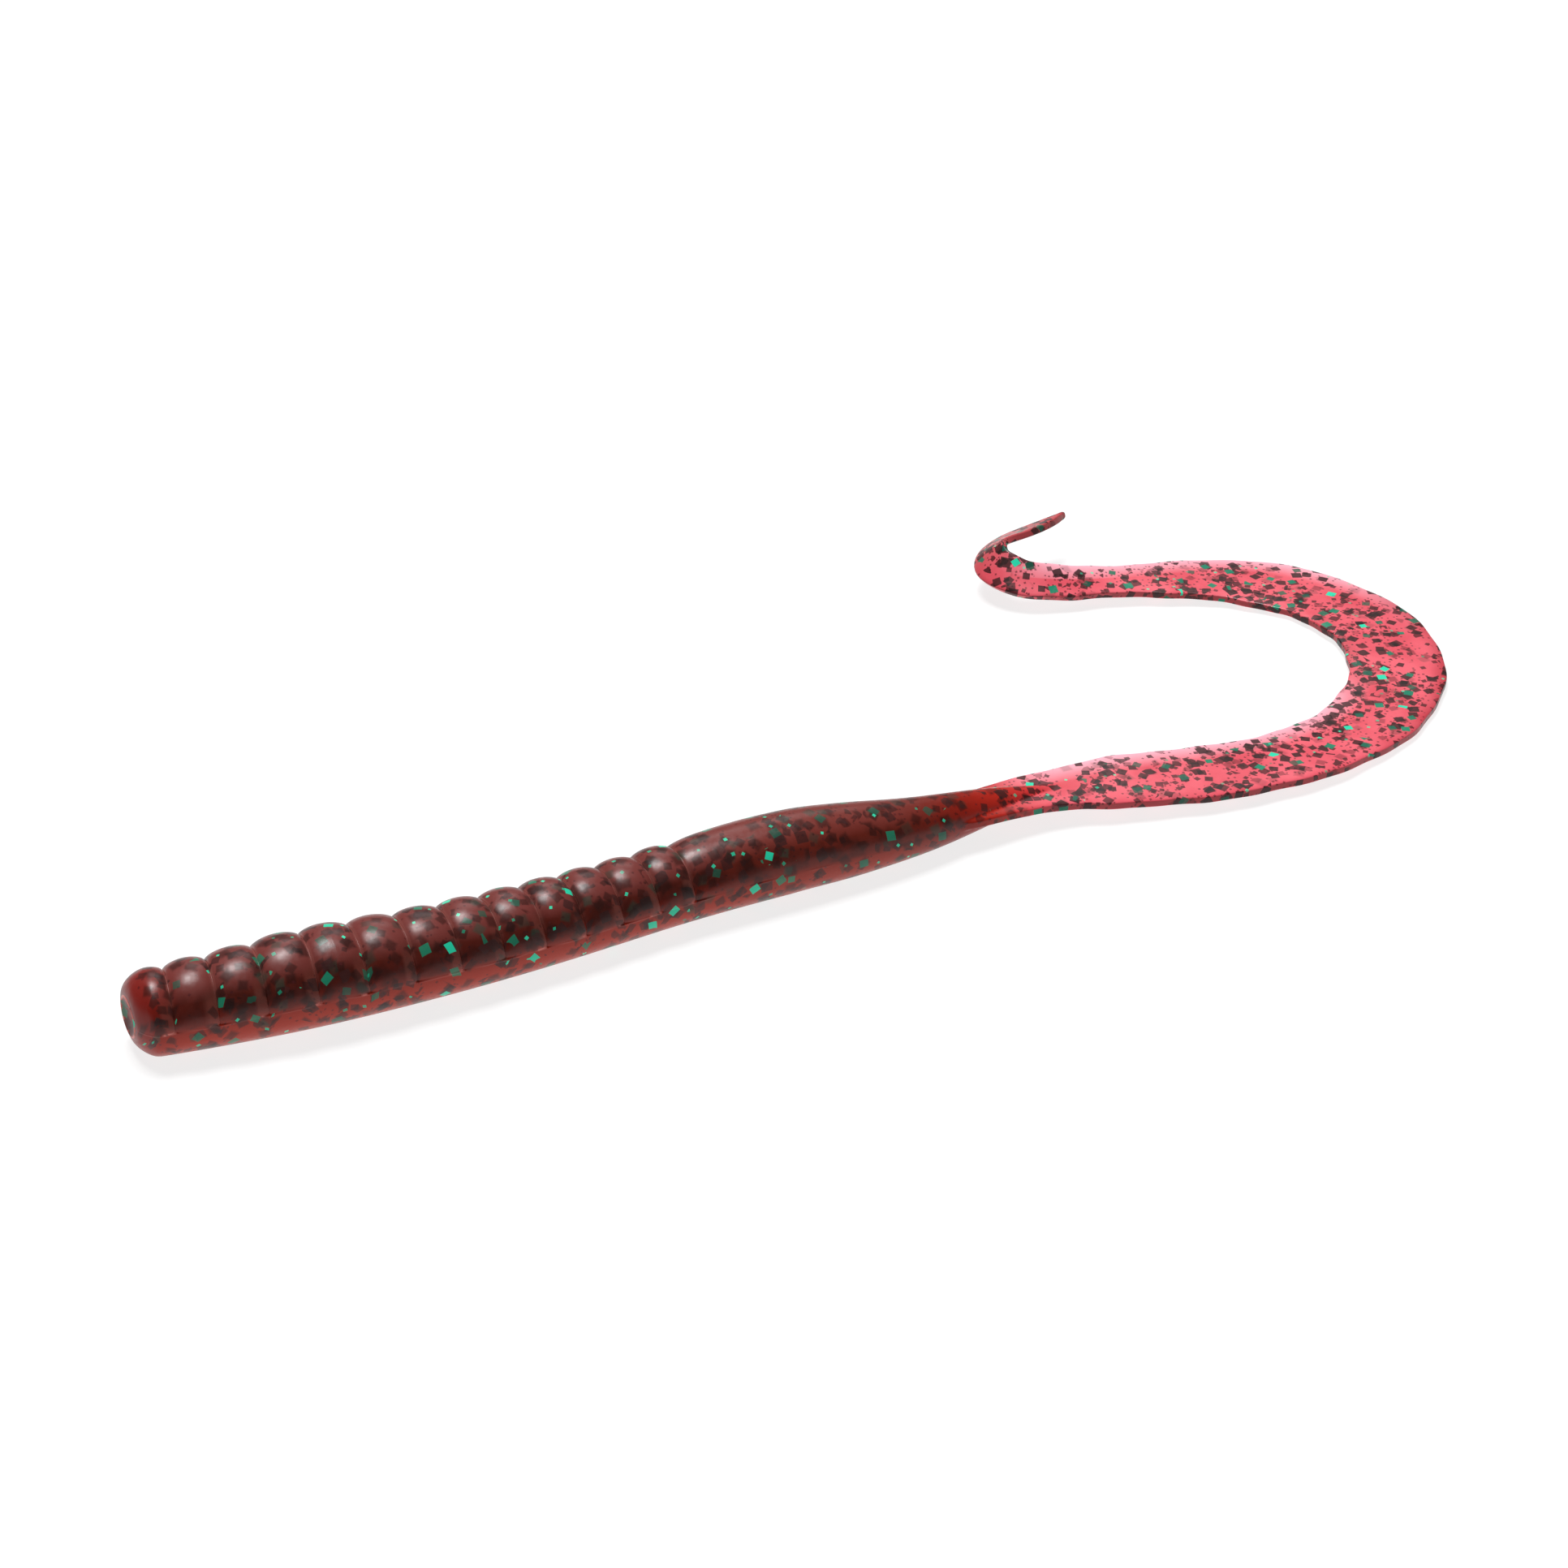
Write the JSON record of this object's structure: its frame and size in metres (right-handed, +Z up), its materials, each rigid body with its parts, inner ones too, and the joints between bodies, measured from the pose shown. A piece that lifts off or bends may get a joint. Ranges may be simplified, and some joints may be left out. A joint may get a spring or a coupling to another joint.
{
  "type": "soft plastic fishing worm",
  "caption": "Soft ribbon-tail fishing worm: ringed body on a smooth belly, plain collar, tapering stem and a flat curled ribbon tail. It bends along its whole length.",
  "frame": {"origin": "centre of the resting bounding box, at the level of the surface the worm lies on", "axes": "+X along the worm from nose to tail, +Z up, the tail curls round to +Y"},
  "size_m": [0.1592, 0.0596, 0.0095],
  "materials": {
    "body_gel": "glossy translucent red-brown gel with dark and green flakes",
    "stem_gel": "glossy translucent red gel with dark and green flakes",
    "ribbon_gel": "glossy translucent coral-pink gel with dark and green flakes"
  },
  "bodies": {
    "head": {"head": "body_gel"},
    "ring_01": {"ring_01": "body_gel"},
    "ring_02": {"ring_02": "body_gel"},
    "ring_03": {"ring_03": "body_gel"},
    "ring_04": {"ring_04": "body_gel"},
    "ring_05": {"ring_05": "body_gel"},
    "ring_06": {"ring_06": "body_gel"},
    "ring_07": {"ring_07": "body_gel"},
    "ring_08": {"ring_08": "body_gel"},
    "ring_09": {"ring_09": "body_gel"},
    "ring_10": {"ring_10": "body_gel"},
    "ring_11": {"ring_11": "body_gel"},
    "ring_12": {"ring_12": "body_gel"},
    "collar_front": {"collar_front": "body_gel"},
    "collar_rear": {"collar_rear": "body_gel"},
    "stem": {"stem": "body_gel"},
    "tail_root": {"tail_root": "stem_gel"},
    "ribbon_01": {"ribbon_01": "ribbon_gel"},
    "ribbon_02": {"ribbon_02": "ribbon_gel"},
    "ribbon_03": {"ribbon_03": "ribbon_gel"},
    "ribbon_04": {"ribbon_04": "ribbon_gel"},
    "ribbon_05": {"ribbon_05": "ribbon_gel"},
    "ribbon_06": {"ribbon_06": "ribbon_gel"},
    "ribbon_07": {"ribbon_07": "ribbon_gel"},
    "ribbon_08": {"ribbon_08": "ribbon_gel"},
    "ribbon_09": {"ribbon_09": "ribbon_gel"},
    "ribbon_tip": {"ribbon_tip": "ribbon_gel"}
  },
  "joints": [
    {"name": "ring_01_side_bend", "type": "hinge", "parent": "head", "child": "ring_01", "pos_m": [-0.07485, -0.01732, 0.00417], "axis": [0, 0, 1], "range_deg": [-12, 12], "stiffness_Nm_per_rad": 0.02},
    {"name": "ring_02_arch", "type": "hinge", "parent": "ring_01", "child": "ring_02", "pos_m": [-0.07082, -0.01804, 0.00431], "axis": [0.1658, 0.9862, 0], "range_deg": [-12, 12], "stiffness_Nm_per_rad": 0.02},
    {"name": "ring_03_side_bend", "type": "hinge", "parent": "ring_02", "child": "ring_03", "pos_m": [-0.06635, -0.01874, 0.00449], "axis": [0, 0, -1], "range_deg": [-12, 12], "stiffness_Nm_per_rad": 0.023},
    {"name": "ring_04_arch", "type": "hinge", "parent": "ring_03", "child": "ring_04", "pos_m": [-0.06159, -0.01934, 0.00464], "axis": [-0.1114, -0.9938, 0], "range_deg": [-12, 12], "stiffness_Nm_per_rad": 0.026},
    {"name": "ring_05_side_bend", "type": "hinge", "parent": "ring_04", "child": "ring_05", "pos_m": [-0.05682, -0.0198, 0.00457], "axis": [0, 0, -1], "range_deg": [-12, 12], "stiffness_Nm_per_rad": 0.025},
    {"name": "ring_06_arch", "type": "hinge", "parent": "ring_05", "child": "ring_06", "pos_m": [-0.05215, -0.02014, 0.00443], "axis": [-0.0583, -0.9983, 0], "range_deg": [-12, 12], "stiffness_Nm_per_rad": 0.023},
    {"name": "ring_07_side_bend", "type": "hinge", "parent": "ring_06", "child": "ring_07", "pos_m": [-0.04762, -0.02035, 0.00433], "axis": [0, 0, 1], "range_deg": [-12, 12], "stiffness_Nm_per_rad": 0.021},
    {"name": "ring_08_arch", "type": "hinge", "parent": "ring_07", "child": "ring_08", "pos_m": [-0.0432, -0.02046, 0.00424], "axis": [0.0136, 0.9999, 0], "range_deg": [-12, 12], "stiffness_Nm_per_rad": 0.02},
    {"name": "ring_09_side_bend", "type": "hinge", "parent": "ring_08", "child": "ring_09", "pos_m": [-0.03887, -0.02047, 0.00415], "axis": [0, 0, 1], "range_deg": [-12, 12], "stiffness_Nm_per_rad": 0.019},
    {"name": "ring_10_arch", "type": "hinge", "parent": "ring_09", "child": "ring_10", "pos_m": [-0.03462, -0.02039, 0.00408], "axis": [-0.0282, 0.9996, 0], "range_deg": [-12, 12], "stiffness_Nm_per_rad": 0.018},
    {"name": "ring_11_side_bend", "type": "hinge", "parent": "ring_10", "child": "ring_11", "pos_m": [-0.03045, -0.02024, 0.004], "axis": [0, 0, -1], "range_deg": [-12, 12], "stiffness_Nm_per_rad": 0.017},
    {"name": "ring_12_arch", "type": "hinge", "parent": "ring_11", "child": "ring_12", "pos_m": [-0.02637, -0.02007, 0.00396], "axis": [0.0426, -0.9991, 0], "range_deg": [-12, 12], "stiffness_Nm_per_rad": 0.016},
    {"name": "collar_front_side_bend", "type": "hinge", "parent": "ring_12", "child": "collar_front", "pos_m": [-0.02238, -0.01992, 0.004], "axis": [0, 0, -1], "range_deg": [-12, 12], "stiffness_Nm_per_rad": 0.0069},
    {"name": "collar_rear_arch", "type": "hinge", "parent": "collar_front", "child": "collar_rear", "pos_m": [-0.01246, -0.02002, 0.00414], "axis": [-0.0396, -0.9992, 0], "range_deg": [-12, 12], "stiffness_Nm_per_rad": 0.0075},
    {"name": "stem_side_bend", "type": "hinge", "parent": "collar_rear", "child": "stem", "pos_m": [-0.00198, -0.02068, 0.00378], "axis": [0, 0, 1], "range_deg": [-12, 12], "stiffness_Nm_per_rad": 0.0043},
    {"name": "tail_root_arch", "type": "hinge", "parent": "stem", "child": "tail_root", "pos_m": [0.00851, -0.02077, 0.00318], "axis": [-0.0713, 0.9975, 0], "range_deg": [-12, 12], "stiffness_Nm_per_rad": 0.00071},
    {"name": "ribbon_01_curl", "type": "hinge", "parent": "tail_root", "child": "ribbon_01", "pos_m": [0.02206, -0.02048, 0.00243], "axis": [0.1457, 0.9886, 0.0376], "range_deg": [-20, 20], "stiffness_Nm_per_rad": 0.00015},
    {"name": "ribbon_02_curl", "type": "hinge", "parent": "ribbon_01", "child": "ribbon_02", "pos_m": [0.03424, -0.02325, 0.00202], "axis": [-0.2321, -0.9715, -0.0472], "range_deg": [-20, 20], "stiffness_Nm_per_rad": 0.0002},
    {"name": "ribbon_03_curl", "type": "hinge", "parent": "ribbon_02", "child": "ribbon_03", "pos_m": [0.04658, -0.02502, 0.00147], "axis": [0.0084, -0.9998, 0.0187], "range_deg": [-20, 20], "stiffness_Nm_per_rad": 0.00021},
    {"name": "ribbon_04_curl", "type": "hinge", "parent": "ribbon_03", "child": "ribbon_04", "pos_m": [0.05882, -0.02287, 0.00088], "axis": [-0.3744, 0.9272, -0.0096], "range_deg": [-20, 20], "stiffness_Nm_per_rad": 0.00022},
    {"name": "ribbon_05_curl", "type": "hinge", "parent": "ribbon_04", "child": "ribbon_05", "pos_m": [0.06908, -0.01593, 0.00087], "axis": [-0.7611, 0.6484, 0.0185], "range_deg": [-20, 20], "stiffness_Nm_per_rad": 0.00022},
    {"name": "ribbon_06_curl", "type": "hinge", "parent": "ribbon_05", "child": "ribbon_06", "pos_m": [0.07409, -0.0047, 0.00089], "axis": [0.9966, -0.0803, -0.0208], "range_deg": [-20, 20], "stiffness_Nm_per_rad": 0.00023},
    {"name": "ribbon_07_curl", "type": "hinge", "parent": "ribbon_06", "child": "ribbon_07", "pos_m": [0.07122, 0.00722, 0.00081], "axis": [0.8158, 0.5783, -0.0071], "range_deg": [-20, 20], "stiffness_Nm_per_rad": 0.00023},
    {"name": "ribbon_08_curl", "type": "hinge", "parent": "ribbon_07", "child": "ribbon_08", "pos_m": [0.06134, 0.01458, 0.00135], "axis": [-0.3858, -0.9222, -0.0249], "range_deg": [-20, 20], "stiffness_Nm_per_rad": 0.00017},
    {"name": "ribbon_09_curl", "type": "hinge", "parent": "ribbon_08", "child": "ribbon_09", "pos_m": [0.04939, 0.01821, 0.00229], "axis": [-0.2596, -0.9087, -0.3269], "range_deg": [-20, 20], "stiffness_Nm_per_rad": 0.00013},
    {"name": "ribbon_tip_curl", "type": "hinge", "parent": "ribbon_09", "child": "ribbon_tip", "pos_m": [0.04136, 0.02532, 0.00435], "axis": [0.5555, -0.4731, 0.6838], "range_deg": [-20, 20], "stiffness_Nm_per_rad": 0.0001}
  ]
}
